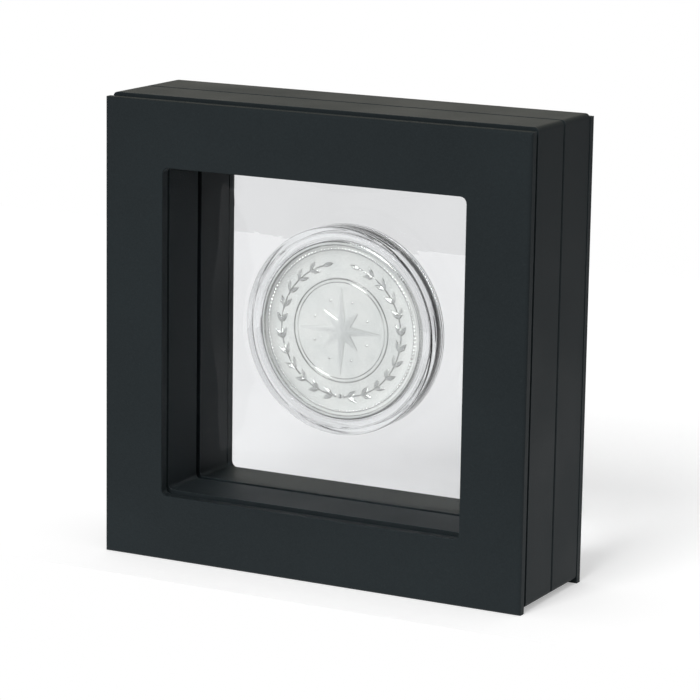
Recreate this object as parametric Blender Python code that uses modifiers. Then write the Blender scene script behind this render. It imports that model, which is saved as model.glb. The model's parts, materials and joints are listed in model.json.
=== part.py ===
"""A floating display frame, closed and standing upright on a table.

Two mirrored halves meet at a seam near the middle of the depth and are hinged along the bottom edge.
Each half is a face plate, a hollow shell, a clear elastic membrane and the ring that clamps the
membrane in the shell's mating face. The two membranes hold a coin in its round capsule between them.

Lengths are in metres. +X is to the right seen from the front, +Y goes to the rear and +Z is up. The
origin lies on the table, below the middle of the frame. Depths are measured from the seam outwards,
and side, -1 for the front half and 1 for the rear one, turns them into Y. The front plate stands a
little further off its shell than the rear one, so the seam lies just behind the middle. The shells sit
a little higher than the plates, so that the frame stands on the plates alone, clear of its hinges.
"""

import math

import bmesh
import bpy
from mathutils import Matrix, Vector

FRONT = -1
REAR = 1

# Face plates: a rail of one width round the window, which together set the frame's size
WINDOW_WIDTH = 0.0715
WINDOW_HEIGHT = 0.0715
RAIL_WIDTH = 0.01425
PLATE_THICKNESS = 0.0021
PLATE_EDGE_RADIUS = 0.0006
WINDOW_EDGE_RADIUS = 0.0002
WINDOW_CORNER_RADIUS = 0.0014
PLATE_OVERHANG = 0.0001
WINDOW_OVERHANG = 0.0001
FRONT_SHADOW_GAP = 0.0011
REAR_SHADOW_GAP = 0.0003
SHELL_LIFT = 0.0008

# Ribs and pegs on the back of each plate, which drop into its shell
RIB_THICKNESS = 0.0012
RIB_ENGAGEMENT = 0.0014
RIB_CORNER_RADIUS = 0.0008
PLATE_PEG_RADIUS = 0.0011
PLATE_PEG_ENGAGEMENT = 0.0040

# Shells: a channel between an outer wall and a window wall, closed by a flange at the seam
SHELL_WALL = 0.0018
SHELL_FLANGE = 0.0030
CHANNEL_DEPTH = 0.00945
SHELL_CORNER_RADIUS = 0.0010
SHELL_WINDOW_RADIUS = 0.0010
CHANNEL_CORNER_RADIUS = 0.0010
SEAM_GAP = 0.0005
SEAM_BEVEL = 0.0002
BOSS_RADIUS = 0.0028
BOSS_HEIGHT = 0.0064
GUSSET_THICKNESS = 0.0012
GUSSET_HEIGHT = 0.0050
GUSSET_SPREAD = 0.0380

# Pegs of the front shell that press into sockets of the rear one and keep the frame shut
CATCH_PEG_RADIUS = 0.0009
CATCH_PEG_TIP_RADIUS = 0.0006
CATCH_PEG_LENGTH = 0.0018

# Membranes and the rings that clamp them in grooves round the window
MEMBRANE_THICKNESS = 0.0002
LIP_SETBACK = 0.0009
GROOVE_WIDTH = 0.0064
GROOVE_DEPTH = 0.0015
GROOVE_CORNER_RADIUS = 0.0010
MEMBRANE_TURN_START = 0.00015
MEMBRANE_TURN = 0.0006
RING_INSET = 0.00035

# Hinges along the bottom edge, each set in from its side of the frame
HINGE_INSET = 0.0200
KNUCKLE_RADIUS = 0.0009
KNUCKLE_LENGTH = 0.0042
KNUCKLE_GAP = 0.0004
HINGE_PIN_RADIUS = 0.0004
HINGE_PIN_SETBACK = 0.0002
HINGE_PIN_CLEARANCE = 0.0001
HINGE_RISE = 0.0003

# Coin, and the capsule in two parts that closes over it
COIN_DIAMETER = 0.0386
COIN_THICKNESS = 0.0028
COIN_RIM_WIDTH = 0.0009
COIN_FIELD_DEPTH = 0.00025
REED_DEPTH = 0.0002
CAPSULE_WALL = 0.0013
CAPSULE_SKIRT = 0.0013
CAPSULE_DISC = 0.0013
CAPSULE_FLANGE = 0.0008
CAPSULE_EDGE_BEVEL = 0.0005
CAPSULE_RISE = 0.0012

# Clearance between pieces, how far a cutter runs past a face and an addition sinks into one
FIT = 0.0003
CUT_OVERRUN = 0.0010
ROOT = 0.0005
WELD_DISTANCE = 0.000001

# Angles: faces flatter than the first become one, edges sharper than the others are rims and creases
FLAT_ANGLE = math.radians(0.1)
RIM_ANGLE = math.radians(45)
CREASE_ANGLE = math.radians(30)

# Counts
CORNER_STEPS = 4
PLATE_EDGE_STEPS = 4
SIDE_STEPS = 9
TENT_STEPS = 3
ROUND_STEPS = 24
CAPSULE_STEPS = 64
REED_COUNT = 144

# Depths from the seam, which follow from the sizes above
SEAM_FACE = SEAM_GAP / 2
FLANGE_BACK = SEAM_FACE + SHELL_FLANGE
SHELL_RIM = FLANGE_BACK + CHANNEL_DEPTH
PLATE_BACK = {FRONT: SHELL_RIM + FRONT_SHADOW_GAP, REAR: SHELL_RIM + REAR_SHADOW_GAP}
OUTER_FACE = {side: back + PLATE_THICKNESS for side, back in PLATE_BACK.items()}
SEAM_PLACE = (OUTER_FACE[FRONT] - OUTER_FACE[REAR]) / 2
RIB_END = SHELL_RIM - RIB_ENGAGEMENT
BOSS_TOP = FLANGE_BACK + BOSS_HEIGHT
GUSSET_TOP = FLANGE_BACK + GUSSET_HEIGHT
PLATE_PEG_END = BOSS_TOP - PLATE_PEG_ENGAGEMENT
GROOVE_FLOOR = SEAM_FACE + GROOVE_DEPTH
MEMBRANE_SEAT = GROOVE_FLOOR - FIT - MEMBRANE_THICKNESS / 2
RING_BACK = MEMBRANE_SEAT - MEMBRANE_THICKNESS / 2 - FIT
MEMBRANE_PLANE = LIP_SETBACK - FIT - MEMBRANE_THICKNESS / 2
CATCH_REACH = CATCH_PEG_LENGTH - SEAM_FACE
COIN_FACE = COIN_THICKNESS / 2
CAPSULE_POCKET = COIN_FACE + FIT
CAPSULE_FACE = CAPSULE_POCKET + CAPSULE_DISC
MEMBRANE_CROWN = CAPSULE_FACE + FIT + MEMBRANE_THICKNESS / 2

# Widths, heights and radii, which follow from the sizes above
FRAME_WIDTH = WINDOW_WIDTH + 2 * RAIL_WIDTH
FRAME_HEIGHT = WINDOW_HEIGHT + 2 * RAIL_WIDTH
PLATE_MIDDLE = FRAME_HEIGHT / 2
MIDDLE_HEIGHT = PLATE_MIDDLE + SHELL_LIFT
HINGE_X = FRAME_WIDTH / 2 - HINGE_INSET
CAPSULE_HEIGHT = MIDDLE_HEIGHT + CAPSULE_RISE
HINGE_HEIGHT = SHELL_LIFT + PLATE_OVERHANG + HINGE_RISE
KNUCKLE_PITCH = KNUCKLE_LENGTH + KNUCKLE_GAP
COIN_RADIUS = COIN_DIAMETER / 2
POCKET_RADIUS = COIN_RADIUS + FIT
CUP_RADIUS = POCKET_RADIUS + CAPSULE_WALL
SKIRT_RADIUS = CUP_RADIUS + FIT
CAPSULE_RADIUS = SKIRT_RADIUS + CAPSULE_SKIRT
TENT_RADIUS = CAPSULE_RADIUS + FIT

# Stands a flat outline up, its own Y along Z, with no rounding that would warp its faces
UPRIGHT = Matrix(((1, 0, 0, 0), (0, 0, -1, 0), (0, 1, 0, 0), (0, 0, 0, 1)))

HALF_NAMES = {FRONT: "front", REAR: "rear"}
FRONT_KNUCKLES = (0,)
REAR_KNUCKLES = (-1, 1)


class Sides:
    """The width and height of one outline of the frame, and what lies a margin outside it."""

    def __init__(self, width, height):
        self.width = width
        self.height = height

    def grown(self, margin):
        return Sides(self.width + 2 * margin, self.height + 2 * margin)

    def outline(self, radius, side_steps=1):
        return rounded_outline(self.width, self.height, radius, side_steps)


FRAME = Sides(FRAME_WIDTH, FRAME_HEIGHT)
WINDOW = Sides(WINDOW_WIDTH, WINDOW_HEIGHT)
SHELL = FRAME.grown(-PLATE_OVERHANG)
CHANNEL_OUTSIDE = SHELL.grown(-SHELL_WALL)
OPENING = WINDOW.grown(WINDOW_OVERHANG)
LIP = OPENING.grown(SHELL_WALL)
GROOVE = LIP.grown(GROOVE_WIDTH)

# Middle lines of the channel, and of the land that the catch pegs stand on
CHANNEL_X = (CHANNEL_OUTSIDE.width + LIP.width) / 4
CHANNEL_Z = (CHANNEL_OUTSIDE.height + LIP.height) / 4
CATCH_X = (SHELL.width + GROOVE.width) / 4
CATCH_Z = (SHELL.height + GROOVE.height) / 4


def rounded_outline(width, height, radius, side_steps=1):
    """Points of a rectangle about (0, 0), anticlockwise, with as many of them for every radius but zero."""
    outline = []
    corner_steps = CORNER_STEPS if radius else 0
    corners = ((1, 1), (-1, 1), (-1, -1), (1, -1))
    for quarter, (right, up) in enumerate(corners):
        centre = Vector((right * (width / 2 - radius), up * (height / 2 - radius)))
        for step in range(corner_steps + 1):
            angle = (quarter + step / CORNER_STEPS) * math.pi / 2
            outline.append(centre + radius * Vector((math.cos(angle), math.sin(angle))))
        right, up = corners[(quarter + 1) % len(corners)]
        start = Vector((right * (width / 2 - radius), up * (height / 2 - radius)))
        angle = (quarter + 1) * math.pi / 2
        end = start + radius * Vector((math.cos(angle), math.sin(angle)))
        begin = outline[-1]
        outline += [begin.lerp(end, step / side_steps) for step in range(1, side_steps)]
    return outline


def clear_scene():
    for obj in list(bpy.data.objects):
        bpy.data.objects.remove(obj)


def new_collection(name):
    collection = bpy.data.collections.new(name)
    bpy.context.scene.collection.children.link(collection)
    return collection


def plain_material(name, colour, roughness, metallic=0.0, alpha=1.0):
    material = bpy.data.materials.new(name)
    material.use_nodes = True
    shader = material.node_tree.nodes["Principled BSDF"]
    shader.inputs["Base Color"].default_value = (*colour, 1.0)
    shader.inputs["Roughness"].default_value = roughness
    shader.inputs["Metallic"].default_value = metallic
    shader.inputs["Alpha"].default_value = alpha
    return material


def black_plastic(name):
    return plain_material(name, (0.020, 0.025, 0.028), 0.55)


def clear_film(name):
    return plain_material(name, (0.95, 0.97, 0.98), 0.08, alpha=0.15)


def clear_acrylic(name):
    return plain_material(name, (0.97, 0.98, 0.99), 0.04, alpha=0.25)


def steel(name):
    return plain_material(name, (0.60, 0.61, 0.62), 0.30, metallic=1.0)


def silver(name):
    return plain_material(name, (0.86, 0.86, 0.84), 0.28, metallic=1.0)


def new_tool(name, mesh):
    """A helper solid, which cuts or is added to a part and isn't one itself."""
    tool = bpy.data.objects.new(name, mesh)
    bpy.data.collections["cutters"].objects.link(tool)
    tool.hide_render = True
    tool.display_type = "WIRE"
    return tool


def finish_part(obj, material, parent):
    """Turns a solid into a part: its own name and finish, smooth round faces, and its half's pivot."""
    cutters = bpy.data.collections["cutters"]
    if obj.name in cutters.objects:
        cutters.objects.unlink(obj)
    bpy.data.collections["floating_display_frame"].objects.link(obj)
    obj.hide_render = False
    obj.display_type = "TEXTURED"
    obj.data.materials.append(material)
    obj.data.shade_smooth()
    obj.data.set_sharp_from_angle(angle=CREASE_ANGLE)
    obj.parent = parent
    obj.matrix_parent_inverse = Matrix.Translation(parent.location).inverted()


def combine(target, tool, operation):
    modifier = target.modifiers.new(f"{operation.lower()} {tool.name}", "BOOLEAN")
    modifier.operation = operation
    modifier.object = tool
    modifier.solver = "EXACT"


def cut(target, tool):
    combine(target, tool, "DIFFERENCE")


def join(target, tool):
    combine(target, tool, "UNION")


def gathered(name, tools):
    """Several tools that don't touch each other, made one object."""
    shape = bmesh.new()
    for tool in tools:
        shape.from_mesh(tool.data)
        bpy.data.objects.remove(tool)
    mesh = bpy.data.meshes.new(name)
    shape.to_mesh(mesh)
    shape.free()
    return new_tool(name, mesh)


def outline_solid(name, outlines, near, far, height=MIDDLE_HEIGHT):
    """A solid between two depths in Y with a flat outline; a second outline is its opening."""
    curve = bpy.data.curves.new(name, "CURVE")
    curve.dimensions = "2D"
    curve.fill_mode = "BOTH"
    curve.extrude = abs(far - near) / 2
    for points in outlines:
        spline = curve.splines.new("POLY")
        spline.points.add(len(points) - 1)
        for target, point in zip(spline.points, points):
            target.co = (point.x, point.y, 0, 1)
        spline.use_cyclic_u = True
    guide = bpy.data.objects.new(name, curve)
    bpy.data.collections["cutters"].objects.link(guide)
    bpy.context.view_layer.update()
    graph = bpy.context.evaluated_depsgraph_get()
    mesh = bpy.data.meshes.new_from_object(guide.evaluated_get(graph))
    bpy.data.objects.remove(guide)
    mesh.transform(Matrix.Translation((0, (near + far) / 2, height)) @ UPRIGHT)
    shape = bmesh.new()
    shape.from_mesh(mesh)
    bmesh.ops.remove_doubles(shape, verts=shape.verts, dist=WELD_DISTANCE)
    bmesh.ops.dissolve_limit(shape, angle_limit=FLAT_ANGLE, verts=shape.verts, edges=shape.edges)
    bmesh.ops.recalc_face_normals(shape, faces=shape.faces)
    shape.to_mesh(mesh)
    shape.free()
    return new_tool(name, mesh)


def soften_edges(obj, width, segments, divide, shares):
    """Bevels the edges at the ends of a solid by shares of a width.

    divide is a ring between the outline and the opening, and shares holds a pair for each depth: what
    the edges outside that ring get, and what those inside it get.
    """
    shape = bmesh.new()
    shape.from_mesh(obj.data)
    weights = shape.edges.layers.float.new("bevel_weight_edge")
    for edge in shape.edges:
        middle = (edge.verts[0].co + edge.verts[1].co) / 2
        beside = abs(middle.x) > divide.width / 2
        outer = beside or abs(middle.z - MIDDLE_HEIGHT) > divide.height / 2
        if edge.calc_face_angle(0) < RIM_ANGLE:
            continue
        for depth, (outer_share, inner_share) in shares.items():
            if all(abs(vert.co.y - depth) < WELD_DISTANCE for vert in edge.verts):
                edge[weights] = outer_share if outer else inner_share
    shape.to_mesh(obj.data)
    shape.free()
    bevel = obj.modifiers.new("softened edges", "BEVEL")
    bevel.limit_method = "WEIGHT"
    bevel.width = width
    bevel.segments = segments
    bevel.use_clamp_overlap = False


def rod(name, start, end, radius, end_radius=None):
    """A round bar, or one that tapers, between two points."""
    start = Vector(start)
    end = Vector(end)
    along = end - start
    shape = bmesh.new()
    bmesh.ops.create_cone(
        shape,
        cap_ends=True,
        segments=ROUND_STEPS,
        radius1=radius,
        radius2=end_radius or radius,
        depth=along.length,
    )
    turn = along.to_track_quat("Z", "Y").to_matrix().to_4x4()
    shape.transform(Matrix.Translation((start + end) / 2) @ turn)
    mesh = bpy.data.meshes.new(name)
    shape.to_mesh(mesh)
    shape.free()
    return new_tool(name, mesh)


def block(name, centre, size):
    shape = bmesh.new()
    bmesh.ops.create_cube(shape, size=1)
    shape.transform(Matrix.Translation(centre) @ Matrix.Diagonal((*size, 1)))
    mesh = bpy.data.meshes.new(name)
    shape.to_mesh(mesh)
    shape.free()
    return new_tool(name, mesh)


def corner_rods(name, side, near, far, radius):
    """One rod at each corner of the channel, where the plate's pegs meet the shell's bosses."""
    rods = []
    for x in (-CHANNEL_X, CHANNEL_X):
        for z in (MIDDLE_HEIGHT - CHANNEL_Z, MIDDLE_HEIGHT + CHANNEL_Z):
            rods.append(rod(name, (x, side * near, z), (x, side * far, z), radius))
    return gathered(name, rods)


def face_plate(side, parent):
    """A flat plate with softened edges, and behind it two ribs and four pegs that locate it."""
    name = HALF_NAMES[side] + "_face_plate"
    back = PLATE_BACK[side]
    face = OUTER_FACE[side]
    outlines = [FRAME.outline(0), WINDOW.outline(WINDOW_CORNER_RADIUS)]
    plate = outline_solid(name, outlines, side * back, side * face, PLATE_MIDDLE)
    shares = {side * face: (1.0, WINDOW_EDGE_RADIUS / PLATE_EDGE_RADIUS)}
    soften_edges(plate, PLATE_EDGE_RADIUS, PLATE_EDGE_STEPS, WINDOW.grown(RAIL_WIDTH / 2), shares)
    outside = CHANNEL_OUTSIDE.grown(-FIT)
    inside = LIP.grown(FIT)
    outer_rib = [outside, outside.grown(-RIB_THICKNESS)]
    inner_rib = [inside.grown(RIB_THICKNESS), inside]
    for place, rib in (("outer", outer_rib), ("window", inner_rib)):
        outlines = [edge.outline(RIB_CORNER_RADIUS) for edge in rib]
        join(plate, outline_solid(f"{name}_{place}_rib", outlines, side * (back + ROOT), side * RIB_END))
    pegs = corner_rods(f"{name}_pegs", side, back + ROOT, PLATE_PEG_END, PLATE_PEG_RADIUS)
    join(plate, pegs)
    finish_part(plate, black_plastic(name), parent)


def add_channel(shell, side):
    """Hollows the shell from its rim, then raises corner bosses and cross gussets in the hollow."""
    outlines = [edge.outline(CHANNEL_CORNER_RADIUS) for edge in (CHANNEL_OUTSIDE, LIP)]
    near = side * FLANGE_BACK
    cut(shell, outline_solid(f"{shell.name}_channel", outlines, near, side * (SHELL_RIM + CUT_OVERRUN)))
    root = FLANGE_BACK - ROOT
    join(shell, corner_rods(f"{shell.name}_bosses", side, root, BOSS_TOP, BOSS_RADIUS))
    bore_floor = PLATE_PEG_END - FIT
    bores = (BOSS_TOP + CUT_OVERRUN, bore_floor, PLATE_PEG_RADIUS + FIT)
    cut(shell, corner_rods(f"{shell.name}_boss_bores", side, *bores))
    depth = GUSSET_TOP - root
    middle = side * (GUSSET_TOP + root) / 2
    beside = ((CHANNEL_OUTSIDE.width - LIP.width) / 2 + 2 * ROOT, depth, GUSSET_THICKNESS)
    above = (GUSSET_THICKNESS, depth, (CHANNEL_OUTSIDE.height - LIP.height) / 2 + 2 * ROOT)
    gussets = []
    for along in (-GUSSET_SPREAD / 2, GUSSET_SPREAD / 2):
        for sign in (-1, 1):
            gussets.append(block("gusset", (sign * CHANNEL_X, middle, MIDDLE_HEIGHT + along), beside))
            gussets.append(block("gusset", (along, middle, MIDDLE_HEIGHT + sign * CHANNEL_Z), above))
    join(shell, gathered(f"{shell.name}_gussets", gussets))


def add_membrane_seat(shell, side):
    """Lowers the face round the window to the lip's height, then sinks the clamping groove behind it."""
    face = GROOVE.outline(GROOVE_CORNER_RADIUS)
    lip = LIP.outline(SHELL_WINDOW_RADIUS + SHELL_WALL)
    start = side * (SEAM_FACE - CUT_OVERRUN)
    cut(shell, outline_solid(f"{shell.name}_lip_relief", [face], start, side * LIP_SETBACK))
    cut(shell, outline_solid(f"{shell.name}_groove", [face, lip], start, side * GROOVE_FLOOR))


def add_knuckles(shell, own, other):
    """Adds this half's hinge knuckles on the axis and clears room for those of the other half."""

    def rods(places, overrun, radius):
        found = []
        for hinge in (-HINGE_X, HINGE_X):
            for place in places:
                centre = hinge + place * KNUCKLE_PITCH
                half = KNUCKLE_LENGTH / 2 + overrun
                ends = [(centre + sign * half, 0, HINGE_HEIGHT) for sign in (-1, 1)]
                found.append(rod("knuckle", *ends, radius))
        return found

    notches = gathered(f"{shell.name}_knuckle_notches", rods(other, FIT, KNUCKLE_RADIUS + FIT))
    cut(shell, notches)
    join(shell, gathered(f"{shell.name}_knuckles", rods(own, 0, KNUCKLE_RADIUS)))
    bore = HINGE_PIN_RADIUS + HINGE_PIN_CLEARANCE
    cut(shell, gathered(f"{shell.name}_pin_bores", rods(own, KNUCKLE_GAP, bore)))


def add_catch(shell, side):
    """Pegs on the front half, and the sockets that take them in the rear half."""
    tools = []
    for x in (-CATCH_X, CATCH_X):
        z = MIDDLE_HEIGHT + CATCH_Z
        if side == FRONT:
            start = (x, -SEAM_FACE - ROOT, z)
            tools.append(rod("peg", start, (x, CATCH_REACH, z), CATCH_PEG_RADIUS, CATCH_PEG_TIP_RADIUS))
        else:
            start = (x, SEAM_FACE - CUT_OVERRUN, z)
            tools.append(rod("socket", start, (x, CATCH_REACH + FIT, z), CATCH_PEG_RADIUS + FIT))
    tool = gathered(f"{shell.name}_catches", tools)
    if side == FRONT:
        join(shell, tool)
    else:
        cut(shell, tool)


def half_shell(side, parent):
    name = HALF_NAMES[side] + "_shell"
    outlines = [SHELL.outline(SHELL_CORNER_RADIUS), OPENING.outline(SHELL_WINDOW_RADIUS)]
    shell = outline_solid(name, outlines, side * SEAM_FACE, side * SHELL_RIM)
    soften_edges(shell, SEAM_BEVEL, 1, LIP, {side * SEAM_FACE: (1.0, 0.0)})
    add_channel(shell, side)
    add_membrane_seat(shell, side)
    knuckles = (FRONT_KNUCKLES, REAR_KNUCKLES)
    add_knuckles(shell, *(knuckles if side == FRONT else knuckles[::-1]))
    add_catch(shell, side)
    finish_part(shell, black_plastic(name), parent)


def clamp_ring(side, parent):
    name = HALF_NAMES[side] + "_clamp_ring"
    outside = GROOVE.grown(-FIT).outline(GROOVE_CORNER_RADIUS)
    inside = LIP.grown(MEMBRANE_TURN_START + MEMBRANE_TURN + RING_INSET)
    outlines = [outside, inside.outline(SHELL_WINDOW_RADIUS + SHELL_WALL)]
    ring = outline_solid(name, outlines, side * SEAM_FACE, side * RING_BACK)
    finish_part(ring, black_plastic(name), parent)


def membrane_loops():
    """Closed loops of (x, z, depth) from the clamped edge, over the lip, up to the capsule's face."""
    edges = (
        (GROOVE.grown(-FIT), GROOVE_CORNER_RADIUS, MEMBRANE_SEAT),
        (LIP.grown(MEMBRANE_TURN_START + MEMBRANE_TURN), SHELL_WALL, MEMBRANE_SEAT),
        (LIP.grown(MEMBRANE_TURN_START), SHELL_WALL, MEMBRANE_PLANE),
        (OPENING, SHELL_WINDOW_RADIUS, MEMBRANE_PLANE),
    )
    loops = []
    for edge, radius, depth in edges:
        points = edge.outline(radius, SIDE_STEPS)
        loops.append([(point.x, point.y + MIDDLE_HEIGHT, depth) for point in points])
    centre = Vector((0, CAPSULE_HEIGHT))
    window = [Vector((x, z)) - centre for x, z, _ in loops[-1]]
    for step in range(1, TENT_STEPS + 1):
        # A film stretched from a circle falls away as the logarithm of the radius.
        share = 1 - step / TENT_STEPS
        loop = []
        for spoke in window:
            radius = TENT_RADIUS * (spoke.length / TENT_RADIUS) ** share
            point = centre + spoke.normalized() * radius
            depth = MEMBRANE_CROWN + (MEMBRANE_PLANE - MEMBRANE_CROWN) * share
            loop.append((point.x, point.y, depth))
        loops.append(loop)
    return loops


def membrane(side, parent):
    """A thin film, lofted from the square of its clamp to the round face of the capsule."""
    name = HALF_NAMES[side] + "_membrane"
    shape = bmesh.new()
    loops = [[shape.verts.new((x, side * depth, z)) for x, z, depth in loop] for loop in membrane_loops()]
    for outer, inner in zip(loops, loops[1:]):
        for index in range(len(outer)):
            following = (index + 1) % len(outer)
            shape.faces.new((outer[index], outer[following], inner[following], inner[index]))
    shape.faces.new(loops[-1])
    bmesh.ops.recalc_face_normals(shape, faces=shape.faces)
    mesh = bpy.data.meshes.new(name)
    shape.to_mesh(mesh)
    shape.free()
    film = new_tool(name, mesh)
    thickness = film.modifiers.new("film thickness", "SOLIDIFY")
    thickness.thickness = MEMBRANE_THICKNESS
    thickness.offset = 0
    finish_part(film, clear_film(name), parent)


def turned_part(name, profile, material, parent):
    """Revolves a profile of (radius, height towards the front) about the capsule's axis."""
    mesh = bpy.data.meshes.new(name)
    edges = [(index, index + 1) for index in range(len(profile) - 1)]
    mesh.from_pydata([(radius, 0, height) for radius, height in profile], edges, [])
    part = new_tool(name, mesh)
    part.rotation_euler = (math.pi / 2, 0, 0)
    part.location = (0, 0, CAPSULE_HEIGHT)
    screw = part.modifiers.new("turned", "SCREW")
    screw.steps = CAPSULE_STEPS
    screw.render_steps = CAPSULE_STEPS
    screw.use_merge_vertices = True
    screw.merge_threshold = WELD_DISTANCE
    finish_part(part, material, parent)


def capsule(parent):
    """A cup that takes the coin, and a lid whose skirt closes over the cup's wall."""
    flange_top = CAPSULE_FLANGE - CAPSULE_FACE
    bevel_radius = CAPSULE_RADIUS - CAPSULE_EDGE_BEVEL
    bevel_height = CAPSULE_FACE - CAPSULE_EDGE_BEVEL
    base = (
        (0, -CAPSULE_POCKET),
        (POCKET_RADIUS, -CAPSULE_POCKET),
        (POCKET_RADIUS, CAPSULE_POCKET - FIT),
        (CUP_RADIUS, CAPSULE_POCKET - FIT),
        (CUP_RADIUS, flange_top),
        (CAPSULE_RADIUS, flange_top),
        (CAPSULE_RADIUS, -bevel_height),
        (bevel_radius, -CAPSULE_FACE),
        (0, -CAPSULE_FACE),
    )
    lid = (
        (0, CAPSULE_FACE),
        (bevel_radius, CAPSULE_FACE),
        (CAPSULE_RADIUS, bevel_height),
        (CAPSULE_RADIUS, flange_top + FIT),
        (SKIRT_RADIUS, flange_top + FIT),
        (SKIRT_RADIUS, CAPSULE_POCKET),
        (0, CAPSULE_POCKET),
    )
    turned_part("capsule_base", base, clear_acrylic("capsule_base"), parent)
    turned_part("capsule_lid", lid, clear_acrylic("capsule_lid"), parent)


def coin(parent):
    """A blank with a reeded edge, dished on both faces inside a raised rim."""
    outline = []
    for index in range(2 * REED_COUNT):
        angle = math.pi * index / REED_COUNT
        radius = COIN_RADIUS - REED_DEPTH * (index % 2)
        outline.append(radius * Vector((math.cos(angle), math.sin(angle))))
    blank = outline_solid("coin", [outline], -COIN_FACE, COIN_FACE, CAPSULE_HEIGHT)
    field = COIN_RADIUS - REED_DEPTH - COIN_RIM_WIDTH
    for side in (FRONT, REAR):
        start = (0, side * (COIN_FACE + CUT_OVERRUN), CAPSULE_HEIGHT)
        end = (0, side * (COIN_FACE - COIN_FIELD_DEPTH), CAPSULE_HEIGHT)
        cut(blank, rod(f"coin_{HALF_NAMES[side]}_field", start, end, field))
    finish_part(blank, silver("coin"), parent)


def hinge_pins(parent):
    half = KNUCKLE_PITCH + KNUCKLE_LENGTH / 2 - HINGE_PIN_SETBACK
    for name, centre in (("left", -HINGE_X), ("right", HINGE_X)):
        ends = [(centre + sign * half, 0, HINGE_HEIGHT) for sign in (-1, 1)]
        pin = rod(f"hinge_pin_{name}", *ends, HINGE_PIN_RADIUS)
        finish_part(pin, steel(pin.name), parent)


def pivot(name, height):
    empty = bpy.data.objects.new(name, None)
    empty.location = (0, 0, height)
    bpy.data.collections["floating_display_frame"].objects.link(empty)
    return empty


def build():
    clear_scene()
    new_collection("floating_display_frame")
    new_collection("cutters")
    halves = {FRONT: pivot("front_half", HINGE_HEIGHT), REAR: pivot("rear_half", 0)}
    for side, parent in halves.items():
        face_plate(side, parent)
        half_shell(side, parent)
        membrane(side, parent)
        clamp_ring(side, parent)
    hinge_pins(halves[REAR])
    capsule(halves[REAR])
    coin(halves[REAR])
    # All of it moves back, so that the frame is centred on the origin and not its seam.
    for obj in bpy.data.objects:
        if obj.parent is None:
            obj.location.y += SEAM_PLACE


build()
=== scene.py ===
import json
import math

import bmesh
import bpy
import numpy as np
from bpy.props import (
    FloatProperty,
    FloatVectorProperty,
    IntProperty,
    PointerProperty,
)
from mathutils import Matrix, Vector


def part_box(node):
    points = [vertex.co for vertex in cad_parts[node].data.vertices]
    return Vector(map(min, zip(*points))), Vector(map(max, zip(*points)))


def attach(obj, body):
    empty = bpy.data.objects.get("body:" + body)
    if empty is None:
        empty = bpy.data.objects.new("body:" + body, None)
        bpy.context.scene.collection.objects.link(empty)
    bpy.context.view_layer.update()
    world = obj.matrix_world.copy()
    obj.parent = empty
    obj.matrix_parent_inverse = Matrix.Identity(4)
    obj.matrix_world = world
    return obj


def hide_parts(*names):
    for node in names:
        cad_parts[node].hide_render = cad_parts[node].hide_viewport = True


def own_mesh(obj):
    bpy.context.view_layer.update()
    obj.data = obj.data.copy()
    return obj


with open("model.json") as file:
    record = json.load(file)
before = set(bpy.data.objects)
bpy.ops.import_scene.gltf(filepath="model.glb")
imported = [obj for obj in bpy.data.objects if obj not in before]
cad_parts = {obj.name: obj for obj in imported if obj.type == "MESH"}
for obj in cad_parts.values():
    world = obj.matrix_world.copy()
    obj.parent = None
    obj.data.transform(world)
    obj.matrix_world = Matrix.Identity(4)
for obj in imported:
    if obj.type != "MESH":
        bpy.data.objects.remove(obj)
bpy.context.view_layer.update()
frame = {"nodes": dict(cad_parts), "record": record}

bl_info = {
    "name": "Floating Coin Frame",
    "version": (1, 0, 0),
    "blender": (4, 5, 0),
    "location": "3D View > Sidebar > Coin Frame",
    "description": "Stretches the films, turns the capsule and strikes the coin of a frame",
    "category": "Object",
}

MM = 0.001
FRONT = -1
REAR = 1
HALF_NAMES = {FRONT: "front", REAR: "rear"}
FULL_TURN = 2 * math.pi
SHARP_ANGLE = math.radians(32)
WELD = 0.00001 * MM

PLASTIC_NODES = (
    "front_face_plate",
    "front_shell",
    "front_clamp_ring",
    "rear_face_plate",
    "rear_shell",
    "rear_clamp_ring",
)
PIN_NODES = ("hinge_pin_left", "hinge_pin_right")

# Rows of the film: those that turn it down from the lip, and those across the capsule's face,
# as shares of the way out to its rim.
TURN_ROWS = 7
FACE_ROWS = (0.98, 0.955, 0.80, 0.55, 0.28)

# Rounds after which the film's shape no longer changes.
SETTLING_ROUNDS = 1500

# How high each part of the coin's design stands, as a share of its relief.
RISE = {
    "line": 0.7,
    "stud": 0.9,
    "berry": 0.95,
    "petal": 1.1,
    "bead": 1.15,
    "hub": 1.3,
    "boss": 1.7,
    "star": 1.9,
}

# How deep the unevenness of the polished pieces is.
FINE_RELIEF = 0.004 * MM

# Where the key lamp stands, seen from the frame.
KEY_HEADING = (-0.04, -1.05, 0.85)

# Where the parts of the world's light begin and end. For the cards and the screen, that is the
# cosine of a ray's angle to their middle, and for the rest the height of its heading.
CARD_EDGE = (0.78, 0.86)
CARD_GLOW = (0.80, 1.0)
SCREEN_EDGE = (0.62, 0.86)
SCREEN_SIDES = (-0.25, 0.25)
SCREEN_FOOT = (-0.36, -0.17)
HORIZON = (-0.04, 0.08)
WARM_SKY = (0.0, 0.4)

# How bright a card's rim is, as a share of its middle.
CARD_RIM = 0.2

WHITE = (1.0, 1.0, 1.0)


def number(name, description, default, least=0.0):
    """A plain number."""
    return FloatProperty(name=name, description=description, default=default, min=least)


def whole_number(name, description, default, least):
    """A number of pieces or steps."""
    return IntProperty(name=name, description=description, default=default, min=least)


def share(name, description, default):
    """A number from 0 to 1."""
    return FloatProperty(name=name, description=description, default=default, min=0.0, max=1.0)


def length(name, description, default):
    """A size in metres."""
    return FloatProperty(
        name=name,
        description=description,
        default=default,
        min=0.0,
        precision=5,
        subtype="DISTANCE",
        unit="LENGTH",
    )


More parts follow.
